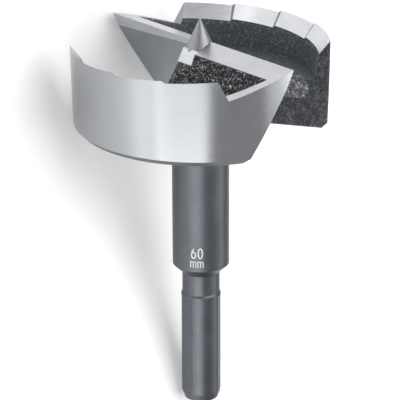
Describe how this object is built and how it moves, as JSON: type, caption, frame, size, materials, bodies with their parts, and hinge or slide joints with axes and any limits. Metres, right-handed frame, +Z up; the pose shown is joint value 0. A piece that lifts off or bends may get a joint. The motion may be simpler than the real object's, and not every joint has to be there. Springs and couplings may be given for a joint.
{
  "type": "forstner bit",
  "caption": "Saw-tooth forstner bit: round cutting head with a toothed rim, two radial lips and a centre point, on a collared shank with flats; bores flat-bottomed holes in wood.",
  "frame": {"origin": "middle of the bit's box, on the surface it lies on", "axes": "+X from the shank end towards the cutting head, with the bit's own axis rising about 17 degrees from it, +Z up, +Y to the left of +X"},
  "size_m": [0.0956, 0.06, 0.0582],
  "materials": {
    "ground_steel": "ground bright on the wall, lips and teeth, dark forged scale in the pockets, satin gunmetal shank"
  },
  "bodies": {
    "root": {"forstner_bit": "ground_steel"}
  },
  "joints": []
}
